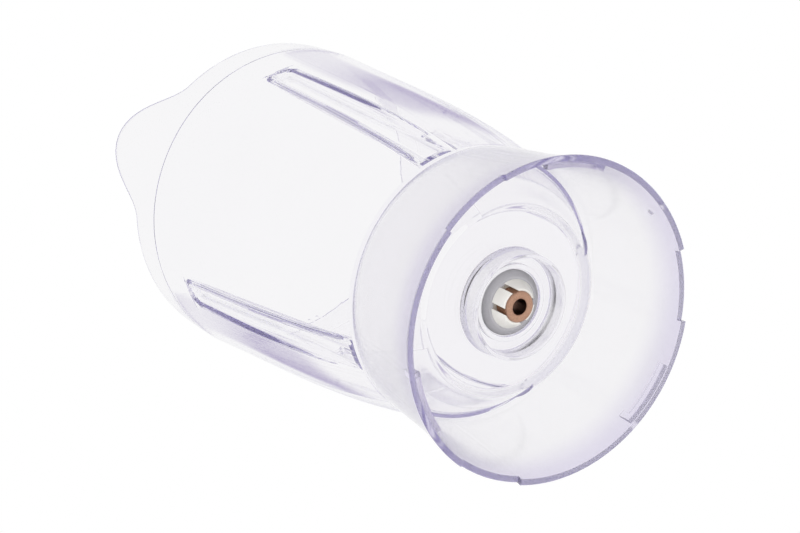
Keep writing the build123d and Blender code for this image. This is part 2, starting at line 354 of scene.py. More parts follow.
def rounded(corners, sizes, steps=4, closed=False):
    """An outline whose corners become quadratic bends that start and end a size away from them.

    At a corner P with unit directions p to the one before and q to the next, the bend runs from
    P + size p to P + size q with P as its control point. Open ends keep their own points.
    """
    points = np.array(corners, float)
    before = np.roll(points, 1, 0) - points
    after = np.roll(points, -1, 0) - points
    before /= np.linalg.norm(before, axis=1, keepdims=True)
    after /= np.linalg.norm(after, axis=1, keepdims=True)
    size = np.broadcast_to(np.array(sizes, float), len(points))[:, None, None]
    t = np.linspace(0, 1, steps)[None, :, None]
    middle = points[:, None]
    starts = middle + size * before[:, None]
    ends = middle + size * after[:, None]
    curve = (1 - t) ** 2 * starts + 2 * t * (1 - t) * middle + t**2 * ends
    if closed:
        return curve.reshape(-1, 2)
    return np.concatenate([points[:1], curve[1:-1].reshape(-1, 2), points[-1:]])


def cubic_through(heights, radii, levels):
    """Radius at each level on the cubic in height through four points."""
    return np.polyval(np.polyfit(heights, radii, 3), levels)


def skirt_radius(s, levels):
    """Outside radius of the skirt: the cubic through rim, flare, waist and shoulder."""
    heights = [0, s.flare_height, s.waist_height, s.shoulder_height - s.shoulder_bevel]
    radii = [s.rim_radius, s.flare_radius, s.waist_radius, s.shoulder_radius]
    return cubic_through(heights, radii, levels)


def barrel_radius(s, levels):
    """Outside radius of the barrel: the cubic through shoulder, belly, middle and lid seat."""
    heights = [s.shoulder_height, s.belly_height, s.middle_height, s.mouth_height - s.seat_drop]
    radii = [s.body_base_radius, s.belly_radius, s.middle_radius, s.seat_radius]
    return cubic_through(heights, radii, levels)


class Flute:
    """One tapering groove with a flat floor, drafted sides and a round head.

    The floor is the plane through a foot and a head line, t runs along it from the foot and y
    across it. The same groove, sunk and grown by the wall, is the rib inside the barrel.
    """

    least_half_width = 0.00035
    foot_gaps = np.array([0.0004, 0.00015])
    foot_rows = 4
    head_turns = np.linspace(0, radians(84), 9)
    head_gap = 0.0006
    head_rows = 7
    side_shares = np.array([0.0, 0.3, 0.75])

    def __init__(self, s, inset):
        foot_radius = barrel_radius(s, s.flute_foot_height) - s.flute_foot_depth
        head_height = s.mouth_height - s.seat_drop - s.flute_head_drop
        head_radius = barrel_radius(s, head_height) - s.flute_head_depth
        rise = head_height - s.flute_foot_height
        run = head_radius - foot_radius
        self.length = hypot(rise, run)
        self.upright = rise / self.length
        self.slope = run / rise
        self.foot_height = s.flute_foot_height
        self.foot_radius = foot_radius - inset / self.upright
        self.inset = inset
        self.draft = tan(s.flute_draft)
        self.half_foot = s.flute_foot_width / 2 + inset
        self.half_head = s.flute_head_width / 2 + inset
        self.neck = self.length - s.flute_head_width / 2

    def along(self, height):
        """Distance t from the foot along the floor at a height."""
        return (height - self.foot_height) / self.upright

    def height(self, t):
        """Height at a distance t from the foot along the floor."""
        return self.foot_height + t * self.upright

    def floor(self, height):
        """Distance of the floor from the axis of the jar at a height."""
        return self.foot_radius + (height - self.foot_height) * self.slope

    def taper(self, t):
        """Half width of the floor at a distance t from the foot, up to the neck."""
        return np.interp(t, [0, self.neck], [self.half_foot, self.half_head])

    def half_width(self, height):
        """Half width of the floor: a straight taper to the neck, then a circle."""
        t = self.along(height)
        over = np.clip(t - self.neck, 0, None)
        head = np.sqrt(np.clip(self.half_head**2 - over**2, self.least_half_width**2, None))
        return np.where(t < self.neck, self.taper(t), head)

    def surface(self, height, across):
        """Distance from the axis of floor and sides: the floor, plus the way out over the draft."""
        t = self.along(height)
        side = np.maximum(np.abs(across) - self.taper(t), -self.inset - t)
        head = np.hypot(across, t - self.neck) - self.half_head
        outside = np.where(t < self.neck, side, head)
        return self.floor(height) + np.clip(outside, 0, None) / (self.draft * self.upright)

    def edge(self, height, radius):
        """Half width where the drafted sides come out of a wall of that radius."""
        half = self.half_width(height)
        edge = half
        for _ in range(3):
            depth = np.sqrt(radius**2 - edge**2) - self.floor(height)
            edge = half + np.clip(depth, 0, None) * self.draft * self.upright
        return edge

    def levels(self, low, high, spacing):
        """Heights of grid rows between two ends, close together at the foot and round the head."""
        foot = self.height(-self.inset)
        apex = self.height(self.neck + self.half_head)
        head = self.height(self.neck + self.half_head * np.sin(self.head_turns))
        sides = self.half_head * self.draft * self.side_shares
        steps = int(ceil((head[0] - foot) / spacing))
        body = np.linspace(foot, head[0], steps, endpoint=False)
        under = np.linspace(low, foot - self.foot_gaps[0], self.foot_rows, endpoint=False)
        over = np.linspace(apex + sides[-1] + self.head_gap, high, self.head_rows)
        return np.concatenate([under, foot - self.foot_gaps, body, head, apex + sides, over])


def away_from(turn, centre):
    """Angles from a centre, between minus and plus half a turn."""
    return (turn - centre + pi) % (2 * pi) - pi


def within(turn, centre, span):
    """Mask of the angles in a span about a centre."""
    return np.abs(away_from(turn, centre)) < span / 2


def flute_centres(s):
    """Angles of the four flutes from the lip, in order."""
    return [s.flute_offset, pi - s.flute_offset, pi + s.flute_offset, 2 * pi - s.flute_offset]


def thirds(offset):
    """Three angles a third of a turn apart."""
    return [offset + 2 * pi / 3 * n for n in range(3)]


def notch_ends(s):
    """Angles of both ends of the three rim notches."""
    return [turn + way * s.notch_span / 2 for turn in thirds(s.notch_offset) for way in (-1, 1)]


def free_columns(s):
    """Angles of the grid columns outside the flute zones, and the place of each zone among them.

    Bar, stop and notch ends have two columns almost in one place, for their upright end walls.
    """
    edges = notch_ends(s)
    for turn in thirds(s.lug_offset):
        edges += [turn - s.lug_span / 2, turn + s.lug_span / 2, turn + s.lug_span / 2 - s.stop_span]
    edges = np.array(edges) % (2 * pi)
    centres = np.array(flute_centres(s))
    clear = np.abs(edges[:, None] - centres).min(1) > FLUTE_ZONE
    pairs = (edges[clear][:, None] + np.array([-EDGE_PAIR, EDGE_PAIR])).ravel()
    pip = s.pip_offset + PIP_PLACES * s.pip_radius / s.flare_radius
    zones = (centres[:, None] + np.array([-FLUTE_ZONE, FLUTE_ZONE])).ravel()
    anchors = np.sort(np.concatenate([[0.0], pairs, pip, zones, [2 * pi]]))
    steps = np.ceil(np.diff(anchors) / COLUMN_SPACING).astype(int)
    runs = [np.linspace(a, b, n, endpoint=False) for a, b, n in zip(anchors, anchors[1:], steps)]
    columns = np.concatenate(runs)
    inside = np.abs(columns[:, None] - centres).min(1) < FLUTE_ZONE - SAME_TURN
    first = np.abs(columns[:, None] - (centres - FLUTE_ZONE)).min(1) < SAME_TURN
    return columns[~(inside | first)], centres


def mouth_rows(s, seat):
    """Rows of the ledge for the lid, and of the mouth band above it from inside to outside."""
    inside = (s.mouth_radius - s.mouth_wall, s.mouth_height)
    outside = (s.mouth_radius, s.mouth_height)
    foot = (s.seat_radius, seat)
    corners = [(s.seat_radius - s.wall, seat), (s.seat_radius - s.mouth_wall, seat), inside]
    ledge = rounded(corners, [0, s.edge / 2, 0])[1:-1]
    soft = 2 * s.edge
    up = straight(ledge[-1], (inside[0], inside[1] - soft), MOUTH_ROWS_IN)[1:]
    brim = rounded([up[-1], inside, outside, foot], [0, soft, soft, 0], 6)[1:-1]
    down = straight(brim[-1], foot, MOUTH_ROWS_OUT)[1:]
    return ledge, np.concatenate([up, brim, down])


def skirt_rows(s, barrel_foot):
    """Rows of the shoulder bevel, the outside of the skirt, its rim and its inside."""
    skirt_top = s.shoulder_height - s.shoulder_bevel
    below = skirt_top - SHOULDER_ROW
    corners = [
        barrel_foot,
        (s.body_base_radius, s.shoulder_height),
        (s.shoulder_radius, skirt_top + s.edge),
        (skirt_radius(s, below), below),
    ]
    shoulder = rounded(corners, [0, s.edge / 3, s.edge, 0], 5)[1:-1]
    fall = np.concatenate([np.linspace(below, NOTCH_FADE, SKIRT_ROWS_OUT), LOW_ROWS_OUT])
    outside = np.stack([skirt_radius(s, fall), fall], 1)
    corners = [
        outside[-1],
        (s.rim_radius, 0),
        (s.rim_radius - s.wall, 0),
        (skirt_radius(s, RIM_ROW) - s.wall, RIM_ROW),
    ]
    rim = rounded(corners, [0, s.edge, s.edge / 2, 0])[1:-1]
    steps = s.lug_lift + np.array([0, s.lug_height, s.stop_height])
    pip = s.pip_height + PIP_PLACES * s.pip_radius
    upper = np.linspace(SKIRT_IN_START, s.pocket_height - s.edge, SKIRT_ROWS_IN)
    climb = np.sort(np.concatenate([upper, LOW_ROWS_IN, steps - STEP_PAIR, steps + STEP_PAIR, pip]))
    heights = [0, s.flare_height, s.waist_height, s.pocket_height]
    radii = np.array([s.rim_radius, s.flare_radius, s.waist_radius, s.shoulder_radius]) - s.wall
    inside = np.stack([cubic_through(heights, radii, climb), climb], 1)
    return shoulder, outside, rim, inside


def boss_rows(s, floor_top, inner_foot):
    """Rows of the boss tube, the raised ring and the hole, up to the top of the floor."""
    floor = s.floor_underside - s.boss_floor_drop
    tube_low = s.floor_underside - s.boss_height
    tube_in = s.boss_lip_radius - s.boss_wall
    ring_low = floor - s.ring_height
    ring_in = s.ring_radius - s.ring_wall
    corners = [
        ((s.floor_edge_radius, s.floor_underside), 0),
        ((s.boss_root_radius, s.floor_underside), BOSS_ROUND),
        ((s.boss_lip_radius, tube_low), BOSS_ROUND),
        ((tube_in, tube_low), BOSS_ROUND),
        ((tube_in, floor), BOSS_ROUND),
        ((s.ring_radius, floor), RING_ROUND),
        ((s.ring_radius, ring_low), s.edge),
        ((ring_in, ring_low), s.edge),
        ((ring_in, floor), RING_ROUND),
        ((s.hole_radius, floor), s.edge / 2),
        ((s.hole_radius, floor_top), s.edge / 2),
        (inner_foot, 0),
    ]
    return rounded(*zip(*corners), 5)[1:-1]


def jar_rows(s):
    """The closed outline of the jar's section as rows of (radius, height), with named stretches.

    It runs from the hole in the floor out over the floor, up inside the barrel, over the mouth,
    down outside the barrel and skirt, round the rim, up inside the skirt and down the cup to the
    boss, the raised ring and the hole again.
    """
    seat = s.mouth_height - s.seat_drop
    floor_top = s.floor_underside + s.floor_thickness
    slant = s.cup_wall * sin(pi / 4)
    inner_foot = (s.floor_edge_radius - s.cup_wall, floor_top)
    inner_middle = (s.cup_radius - slant, s.cup_height + slant)
    inner_top = (s.body_base_radius - s.wall, s.shoulder_height)
    cup_in = arc(inner_foot, inner_middle, inner_top, CUP_ROWS_IN)[CUP_BEND_ROWS:-1]
    floor_end = (inner_foot[0] - s.floor_edge_bend, floor_top)

    levels = Flute(s, s.wall).levels(s.shoulder_height, seat, BARREL_SPACING)
    barrel_in = np.stack([barrel_radius(s, levels) - s.wall, levels], 1)
    ledge, mouth = mouth_rows(s, seat)
    levels = Flute(s, 0).levels(s.shoulder_height + s.edge, seat, BARREL_SPACING)[::-1]
    barrel_out = np.stack([barrel_radius(s, levels), levels], 1)
    shoulder, skirt_out, rim, skirt_in = skirt_rows(s, barrel_out[-1])

    outer_foot = (s.floor_edge_radius, s.floor_underside)
    outer_middle = (s.cup_radius, s.cup_height)
    cup_out = arc((s.pocket_radius, s.pocket_height), outer_middle, outer_foot, CUP_ROWS_OUT)
    roof_corner = (s.shoulder_radius - s.wall, s.pocket_height)
    roof = rounded([skirt_in[-1], roof_corner, *cup_out[:2]], [0, s.edge, s.edge, 0])[1:-1]
    cup_out = cup_out[1:-1]
    under_start = (s.floor_edge_radius - s.floor_edge_bend, s.floor_underside)
    boss = boss_rows(s, floor_top, inner_foot)
    stretches = [
        ("floor", straight(boss[-1], floor_end, FLOOR_ROWS)[1:]),
        ("floor", bend(floor_end, inner_foot, cup_in[0], BEND_ROWS)),
        ("cup_in", cup_in),
        ("barrel_in", barrel_in),
        ("ledge", ledge),
        ("mouth", mouth),
        ("barrel_out", barrel_out),
        ("shoulder", shoulder),
        ("skirt_out", skirt_out),
        ("rim", rim),
        ("skirt_in", skirt_in),
        ("roof", roof),
        ("cup_out", cup_out),
        ("cup_foot", bend(cup_out[-1], outer_foot, under_start, BEND_ROWS)[1:]),
        ("under", straight(under_start, boss[0], UNDER_ROWS)),
        ("boss", boss),
    ]
    names = np.repeat([name for name, _ in stretches], [len(points) for _, points in stretches])
    return names, np.concatenate([points for _, points in stretches])


def fluted(s, names):
    """The rib inside the barrel and the groove outside it, each with the mask of its rows."""
    insets = {"barrel_in": s.wall, "barrel_out": 0.0}
    return [(Flute(s, inset), names == name) for name, inset in insets.items()]


def edge_rounds(s, flute, height, centre):
    """Softness of the edges of a flute at its smaller and its larger angles, at some heights.

    The edge nearer to the lip, or to its opposite, is evenly soft. The other one is crisp at the
    head and as soft as its neighbour at the foot.
    """
    share = np.interp(flute.along(height) / flute.neck, CRISP_SHARES, [0, 1])
    far = s.near_round + (s.far_round - s.near_round) * share
    sides = [np.full_like(far, s.near_round), far]
    return sides if sin(2 * centre) > 0 else sides[::-1]


def zone_edges(s, names, rows, centre):
    """Angles of the floor and side edges of one flute on every row, as four columns of angles.

    On barrel rows they follow the groove or the rib, at the rim and on the cup they mark the end
    of a notch or of the side relief, and between those stretches they drift from one to the other.
    """
    radius, height = rows.T
    edges = np.full((len(rows), 4), np.nan)
    for flute, on in fluted(s, names):
        over = flute.along(height[on]) > flute.neck + HEAD_END * flute.half_head
        above = height[on] - flute.height(flute.neck + flute.half_head)
        drift = np.clip(above / DRIFT_HEIGHT, 0, 1)
        rounds = edge_rounds(s, flute, height[on], centre)
        for way, soft, columns in zip((-1, 1), rounds, ([0, 1], [3, 2])):
            flat = np.clip(flute.half_width(height[on]) - soft, flute.least_half_width / 2, None)
            floor = np.arcsin(flat / radius[on])
            side = np.arcsin((flute.edge(height[on], radius[on]) + soft) / radius[on])
            floor = np.where(over, floor + drift * (FLUTE_REST - floor), floor)
            side = np.maximum(side, floor + np.where(over, LEAST_SIDE, 2 * EDGE_PAIR))
            edges[np.ix_(on, columns)] = centre + way * np.stack([side, floor], 1)
    rest = centre + np.array([-FLUTE_REST_EDGE, -FLUTE_REST, FLUTE_REST, FLUTE_REST_EDGE])
    edges[[0, -1]] = rest
    low = (height < NOTCH_FADE) & np.isin(names, ["skirt_out", "rim", "skirt_in"])
    cup = np.isin(names, ["roof", "cup_out", "cup_foot", "under"])
    for stretch, ends in ((low, notch_ends(s)), (cup, RELIEF_ENDS)):
        edges[stretch] = rest
        for away in away_from(np.array(ends), centre):
            if abs(away) < FLUTE_ZONE:
                side = slice(0, 2) if away < 0 else slice(2, 4)
                edges[stretch, side] = centre + away + np.array([-EDGE_PAIR, EDGE_PAIR])
    known = np.flatnonzero(~np.isnan(edges[:, 0]))
    every = np.arange(len(rows))
    return np.stack([np.interp(every, known, edges[known, n]) for n in range(4)], 1)


def zone_columns(s, names, rows, centre):
    """Angles of the columns of one flute zone on every row, evenly spaced between its edges."""
    edges = zone_edges(s, names, rows, centre)
    ends = np.full((len(rows), 1), centre)
    marks = np.concatenate([ends - FLUTE_ZONE, edges, ends + FLUTE_ZONE], 1)
    counts = [OUTSIDE_STEPS, WALL_STEPS, FLOOR_STEPS, WALL_STEPS, OUTSIDE_STEPS]
    runs = [
        marks[:, n, None] + np.arange(count) / count * (marks[:, n + 1] - marks[:, n])[:, None]
        for n, count in enumerate(counts)
    ]
    return np.concatenate(runs, 1)


def softened(flute, rounds, radius, height, across):
    """Distance from the axis of the nearer of barrel and groove, averaged over a width across it."""
    width = np.where(across < 0, *rounds)
    places = across[..., None] + width[..., None] * np.linspace(-1, 1, BLEND_SAMPLES)
    barrel = np.sqrt(radius[..., None] ** 2 - places**2)
    return np.minimum(barrel, flute.surface(height[..., None], places)).mean(-1)


def lip_bulge(s, turn, height):
    """How far the mouth is drawn out: a square of height above the seat times cos^2 of the angle."""
    seat = s.mouth_height - s.seat_drop
    reach = -JAR_LOW.y - s.mouth_radius
    half_way = s.seat_drop - s.lip_rise_drop
    steep, even = np.linalg.solve(
        [[half_way**2, half_way], [s.seat_drop**2, s.seat_drop]], [s.lip_rise_reach, reach]
    )
    over = np.clip(height - seat, 0, None)
    swell = np.cos(np.clip(away_from(turn, 0) / s.lip_half_span, -1, 1) * pi / 2) ** 2
    return (steep * over**2 + even * over) * swell


def haze_marks(names, height):
    """Share of the haze on each row: graded inside the skirt, even on ledge, roof, cup and boss."""
    textured = np.isin(names, ["ledge", "boss", "roof", "cup_out", "cup_foot"])
    graded = np.interp(height, HAZE_HEIGHTS, HAZE_SHARES)
    return np.select([names == "skirt_in", textured], [graded, CUP_HAZE], 0.0)


def jar_surface(s):
    """Points of the jar's closed surface on a grid of section rows and angle columns.

    A point is the section's radius at its height, changed by the features of its stretch: the lip
    adds to it, a flute or rib cuts it to the groove's surface, a notch lifts the rim, the bars, the
    stops and the pip stand in from the skirt, and the side reliefs move the cup inwards and run
    out towards its roof and across the floor. The rows are turned round at the end, so that faces
    point outwards. Every point also gets its row's share of the haze.
    """
    names, rows = jar_rows(s)
    free, centres = free_columns(s)
    fixed = np.broadcast_to(free, (len(rows), len(free)))
    zones = [zone_columns(s, names, rows, centre) for centre in centres]
    turn = np.concatenate([fixed, *zones], 1)
    owner = np.concatenate([np.full(len(free), -1), np.repeat(np.arange(4), zones[0].shape[1])])
    order = np.argsort(turn[0])
    turn, owner = turn[:, order], owner[order]
    radius = np.broadcast_to(rows[:, :1], turn.shape).copy()
    height = np.broadcast_to(rows[:, 1:], turn.shape).copy()

    mouth = np.isin(names, ["ledge", "mouth"])
    radius[mouth] += lip_bulge(s, turn[mouth], height[mouth])

    for flute, on in fluted(s, names):
        for number, centre in enumerate(centres):
            part = np.ix_(on, owner == number)
            across = radius[part] * np.sin(turn[part] - centre)
            rounds = edge_rounds(s, flute, height[part], centre)
            ahead = softened(flute, rounds, radius[part], height[part], across)
            radius[part] = np.hypot(ahead, across)
            turn[part] = centre + np.arctan2(across, ahead)

    low = np.isin(names, ["skirt_out", "rim", "skirt_in"])
    notched = np.any([within(turn, centre, s.notch_span) for centre in thirds(s.notch_offset)], 0)
    depth = s.notch_depth * np.clip(1 - height / NOTCH_FADE, 0, None)
    lift = np.where(notched & low[:, None], depth, 0)
    radius += skirt_radius(s, height + lift) - skirt_radius(s, height)
    height += lift

    skirt = (names == "skirt_in")[:, None]
    bar_face = s.rim_radius - s.wall - s.lug_reach
    for centre in thirds(s.lug_offset):
        bar = within(turn, centre, s.lug_span) & (height < s.lug_lift + s.lug_height)
        stop = within(turn, centre + (s.lug_span - s.stop_span) / 2, s.stop_span)
        stop = stop & (height < s.lug_lift + s.stop_height)
        proud = skirt & (bar | stop) & (height > s.lug_lift)
        radius = np.where(proud, np.minimum(radius, bar_face), radius)
    away = (turn - s.pip_offset) * s.flare_radius
    inwards = s.pip_radius - np.hypot(away, height - s.pip_height)
    rise = np.clip(inwards / (PIP_SLOPE * s.pip_radius), 0, 1)
    radius -= np.where(skirt, s.pip_rise * rise**2 * (3 - 2 * rise), 0)

    run_out = np.interp(rows[:, 1], [s.cup_height, s.pocket_height], [1, 0])
    relief = np.where(np.isin(names, ["cup_out", "cup_foot"]), run_out, 0)
    relief[names == "under"] = np.linspace(1, 0, UNDER_ROWS)
    relieved = within(turn, pi / 2, pi / 2) | within(turn, 3 * pi / 2, pi / 2)
    radius -= s.side_relief * relief[:, None] * relieved
    points = np.stack([radius * np.sin(turn), -radius * np.cos(turn), height], 2)
    haze = np.broadcast_to(haze_marks(names, rows[:, 1])[:, None], turn.shape)
    return points[::-1], haze[::-1].astype(np.float32)


def revolved(outline, columns):
    """A closed outline of (radius, height) points carried round the axis."""
    turn = np.arange(columns) * 2 * pi / columns
    radius = outline[:, :1]
    height = np.broadcast_to(outline[:, 1:], (len(outline), columns))
    return np.stack([radius * np.sin(turn), -radius * np.cos(turn), height], 2)


def grid_faces(rows, columns, start=0, closed_columns=True):
    """Quads of a grid whose rows close on themselves, as indices into its flattened points."""
    row = np.arange(rows)[:, None]
    column = np.arange(columns if closed_columns else columns - 1)[None, :]
    next_row = (row + 1) % rows
    next_column = (column + 1) % columns
    corners = [row * columns + column, row * columns + next_column]
    corners += [next_row * columns + next_column, next_row * columns + column]
    return start + np.stack(np.broadcast_arrays(*corners), -1).reshape(-1, 4)


def add_piece(name, points, faces, material, node, haze=None):
    """Makes a mesh object of points and quads that stands for a CAD node."""
    mesh = bpy.data.meshes.new(name)
    mesh.vertices.add(len(points))
    mesh.vertices.foreach_set("co", np.ascontiguousarray(points, np.float32).ravel())
    mesh.loops.add(faces.size)
    mesh.loops.foreach_set("vertex_index", faces.ravel().astype(np.int32))
    mesh.polygons.add(len(faces))
    mesh.polygons.foreach_set("loop_start", np.arange(0, faces.size, 4, dtype=np.int32))
    mesh.update(calc_edges=True)
    if haze is not None:
        mesh.attributes.new("haze", "FLOAT", "POINT").data.foreach_set("value", haze.ravel())
    merged = bmesh.new()
    merged.from_mesh(mesh)
    bmesh.ops.remove_doubles(merged, verts=merged.verts, dist=MERGE)
    merged.to_mesh(mesh)
    merged.free()
    mesh.polygons.foreach_set("use_smooth", np.ones(len(mesh.polygons), bool))
    mesh.set_sharp_from_angle(angle=CREASE)
    mesh.materials.append(material)
    piece = bpy.data.objects.new(name, mesh)
    bpy.context.scene.collection.objects.link(piece)
    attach(piece, "root")
    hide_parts(node)


def add_grid(name, points, material, node, haze=None):
    """Makes a piece of one grid of points whose rows and columns close on themselves."""
    faces = grid_faces(*points.shape[:2])
    add_piece(name, points.reshape(-1, 3), faces, material, node, haze)


def add_turned(name, corners, edge, material, node):
    """Makes a piece by turning the corners of a section, rounded at its edges, about the axis."""
    section = rounded(corners, edge, closed=True)
    add_grid(name, revolved(section, TURNED_COLUMNS), material, node)


def node_material(name):
    """An empty node material and its output node."""
    material = bpy.data.materials.new(name)
    material.use_nodes = True
    tree = material.node_tree
    tree.nodes.clear()
    return material, tree, tree.nodes.new("ShaderNodeOutputMaterial")


def add_node(tree, kind, values=None, **options):
    """A new node with some options, whose inputs get constants or links from other outputs."""
    node = tree.nodes.new(kind)
    for name, option in options.items():
        setattr(node, name, option)
    for socket, value in (values or {}).items():
        if isinstance(value, bpy.types.NodeSocket):
            tree.links.new(value, node.inputs[socket])
        else:
            node.inputs[socket].default_value = value
    return node


def mottle_group():
    """Shader group: soft cloudiness and fine grain on Object coordinates, as two values.

    Cloud runs from 0 to 1 over spots of the size 1 / Scale, Grain is ten times finer.
    """
    if "mottle" in bpy.data.node_groups:
        return bpy.data.node_groups["mottle"]
    group = bpy.data.node_groups.new("mottle", "ShaderNodeTree")
    for socket, way in (("Scale", "INPUT"), ("Cloud", "OUTPUT"), ("Grain", "OUTPUT")):
        group.interface.new_socket(socket, in_out=way, socket_type="NodeSocketFloat")
    scale = group.nodes.new("NodeGroupInput").outputs["Scale"]
    outside = group.nodes.new("NodeGroupOutput")
    place = add_node(group, "ShaderNodeTexCoord").outputs["Object"]
    values = {0: scale, 1: GRAIN_FINENESS}
    finer = add_node(group, "ShaderNodeMath", values, operation="MULTIPLY").outputs["Value"]
    for name, size, detail in (("Cloud", scale, CLOUD_DETAIL), ("Grain", finer, GRAIN_DETAIL)):
        values = {"Vector": place, "Scale": size, "Detail": detail}
        noise = add_node(group, "ShaderNodeTexNoise", values)
        group.links.new(noise.outputs["Fac"], outside.inputs[name])
    return group


def mottle(tree, scale):
    """The Cloud and Grain values at a scale."""
    node = add_node(tree, "ShaderNodeGroup", node_tree=mottle_group())
    node.inputs["Scale"].default_value = scale
    return node.outputs["Cloud"], node.outputs["Grain"]


def spread(tree, value, low, high):
    """A Map Range node that carries a noise value to a range of roughness."""
    start, end = NOISE_RANGE
    values = {"Value": value, "From Min": start, "From Max": end, "To Min": low, "To Max": high}
    return add_node(tree, "ShaderNodeMapRange", values).outputs["Result"]


def ramp(tree, value, tones, places):
    """A colour ramp between two tones at two places, led by a value."""
    node = add_node(tree, "ShaderNodeValToRGB", {"Fac": value})
    for element, tone, place in zip(node.color_ramp.elements, tones, places):
        element.position = place
        element.color = (*tone, 1)
    return node.outputs["Color"]


def two_tone(tree, value, tone, share):
    """A colour from a tone darkened by a share to the tone itself, led by a noise value."""
    darker = [part * (1 - share) for part in tone]
    return ramp(tree, value, (darker, tone), NOISE_RANGE)


def white_to(tree, mask, tint):
    """A colour that runs from white to a tint as a mask runs from 0 to 1."""
    return ramp(tree, mask, ((1, 1, 1), tint), (0, 1))


def tinted(tree, tone, mask, tint):
    """A tone multiplied by a tint where a mask is 1."""
    values = {0: tone, 1: white_to(tree, mask, tint)}
    return add_node(tree, "ShaderNodeVectorMath", values, operation="MULTIPLY").outputs["Vector"]


def object_parts(tree):
    """The X, Y and Z outputs of the Object coordinates."""
    place = add_node(tree, "ShaderNodeTexCoord").outputs["Object"]
    return add_node(tree, "ShaderNodeSeparateXYZ", {"Vector": place}).outputs


def compute(tree, operation, *values):
    """A Math node of some outputs."""
    inputs = dict(enumerate(values))
    return add_node(tree, "ShaderNodeMath", inputs, operation=operation).outputs["Value"]


def square(tree, value):
    """A Math node that multiplies an output by itself."""
    return compute(tree, "MULTIPLY", value, value)


def fade(tree, value, start, end):
    """A smooth step of a value, from 0 at the start to 1 at the end."""
    values = {"Value": value, "From Min": start, "From Max": end}
    node = add_node(tree, "ShaderNodeMapRange", values, interpolation_type="SMOOTHSTEP")
    return node.outputs["Result"]


def between(tree, value, low, high, soft):
    """A mask that is 1 where a value lies between two ends, faded over a soft width at either."""
    inside = fade(tree, value, low - soft / 2, low + soft / 2)
    return compute(tree, "MULTIPLY", inside, fade(tree, value, high + soft / 2, high - soft / 2))


def solid_finish(name, tone, *, share, rough, scale, bump, metallic=0.0, hole=0.0, depth=None):
    """An opaque finish: mottled tone, roughness by cloud and a fine bump by grain.

    Nearer to the axis of the jar than a hole's radius, the tone is multiplied by the depth colour:
    painted shade that darkens the inside of the deep hole as if it lay in shadow.
    """
    material, tree, output = node_material(name)
    cloud, grain = mottle(tree, scale)
    values = {"Strength": bump, "Distance": BUMP_DISTANCE, "Height": grain}
    normal = add_node(tree, "ShaderNodeBump", values).outputs["Normal"]
    tone = two_tone(tree, grain, tone, share)
    # painted shade: inside the hole's radius the tone fades to the depth colour, as shadow in a deep
    # hole
    if hole:
        across, along, _ = object_parts(tree)
        away = compute(tree, "SQRT", compute(tree, "ADD", square(tree, across), square(tree, along)))
        tone = tinted(tree, tone, fade(tree, away, BORE_SHADE_EDGE * hole, hole), depth)
    rough = spread(tree, cloud, *rough)
    values = {"Base Color": tone, "Roughness": rough, "Metallic": metallic, "Normal": normal}
    shader = add_node(tree, "ShaderNodeBsdfPrincipled", values)
    tree.links.new(shader.outputs["BSDF"], output.inputs["Surface"])
    return material


def clear_plastic(finishes):
    """Clear moulded plastic: refraction, a lavender tint that grows with depth, a painted lavender glow
    at the rim, faint flow marks.
    """
    material, tree, output = node_material("clear_plastic")
    cloud, _ = mottle(tree, FLOW_SCALE)
    tone = two_tone(tree, cloud, finishes.clear, FLOW_SHARE)
    _, _, level = object_parts(tree)
    # painted light: below the band height the tone turns to the rim glow colour, for light guided down
    # the wall
    tone = tinted(tree, tone, fade(tree, level, finishes.painted_glow_band, 0), finishes.painted_rim_glow)
    haze = add_node(tree, "ShaderNodeAttribute", attribute_name="haze").outputs["Fac"]
    values = {0: haze, 1: finishes.haze, 2: spread(tree, cloud, *FLOW_ROUGHNESS)}
    rough = add_node(tree, "ShaderNodeMath", values, operation="MULTIPLY_ADD").outputs["Value"]
    values = {"Base Color": tone, "Roughness": rough, "IOR": PLASTIC_INDEX}
    shader = add_node(tree, "ShaderNodeBsdfPrincipled", values)
    shader.inputs["Transmission Weight"].default_value = 1.0
    values = {"Color": (*finishes.clear_depth, 1), "Density": finishes.clear_density}
    depth = add_node(tree, "ShaderNodeVolumeAbsorption", values)
    tree.links.new(shader.outputs["BSDF"], output.inputs["Surface"])
    tree.links.new(depth.outputs["Volume"], output.inputs["Volume"])
    return material


def housing_sleeve(b):
    """Outline of the housing above its jaws: neck, flange, hub, seal pocket and ledge."""
    bore = BUSH_HIGH.x + b.press_gap
    low = RING_LOW.z + b.slot_rise
    flange_top = b.floor_top + b.flange_thickness
    ledge_top = BUSH_HIGH.z + b.ledge_thickness
    corners = [
        (bore, low),
        (b.neck_radius, low),
        (b.neck_radius, b.floor_top + b.air),
        (HOUSING_HIGH.x, b.floor_top + b.air),
        (HOUSING_HIGH.x, flange_top),
        (b.hub_radius, flange_top),
        (b.hub_radius, HOUSING_HIGH.z),
        (b.seal_pocket_radius, HOUSING_HIGH.z),
        (b.seal_pocket_radius, ledge_top),
        (b.ledge_radius, ledge_top),
        (b.ledge_radius, BUSH_HIGH.z),
        (bore, BUSH_HIGH.z),
    ]
    return rounded(corners, b.edge, closed=True)


